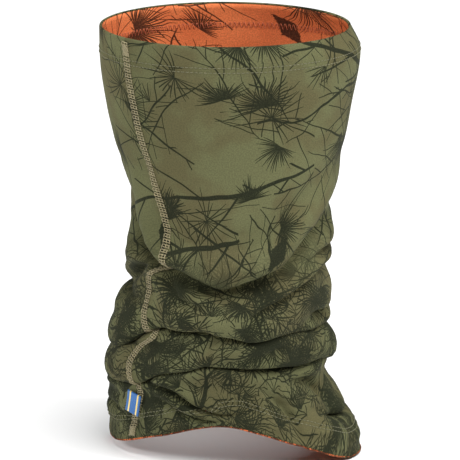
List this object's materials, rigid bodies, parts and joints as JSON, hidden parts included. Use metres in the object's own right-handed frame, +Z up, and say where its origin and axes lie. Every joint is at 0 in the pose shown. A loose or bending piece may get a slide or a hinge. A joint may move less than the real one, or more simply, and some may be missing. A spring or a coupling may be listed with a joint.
{
  "type": "neck gaiter",
  "caption": "Reversible double-layer knitted neck gaiter: a printed tube with a contrasting lining, stitched hems, a flat side seam and a small woven side label.",
  "frame": {"origin": "on the ground, under the middle of the tube's outline", "axes": "+Z up the tube from the lower hem to the rim, -Y towards the wearer's front, +X to the right seen from the front"},
  "size_m": [0.187, 0.1452, 0.309],
  "materials": {
    "shell_jersey": "matte knit",
    "lining_jersey": "matte knit",
    "hem_thread": "spun polyester thread",
    "lining_thread": "spun polyester thread",
    "seam_thread": "spun polyester thread",
    "label_weave": "woven polyester"
  },
  "bodies": {
    "gaiter": {"outer_shell": "shell_jersey", "lining": "lining_jersey", "top_hem_thread_upper": "hem_thread", "top_hem_thread_lower": "hem_thread", "top_hem_looper_thread": "lining_thread", "bottom_hem_thread_upper": "hem_thread", "bottom_hem_thread_lower": "hem_thread", "bottom_hem_looper_thread": "lining_thread", "outer_seam_thread": "seam_thread", "lining_seam_thread": "lining_thread", "top_seam_tack": "seam_thread", "bottom_seam_tack": "seam_thread", "label_tack_thread": "seam_thread"},
    "label": {"side_label": "label_weave"}
  },
  "joints": [
    {"name": "label_flap", "type": "hinge", "parent": "gaiter", "child": "label", "pos_m": [-0.06436, -0.03999, 0.03876], "axis": [0.1169, -0.3489, 0.9299], "range_deg": [0, 140]}
  ]
}
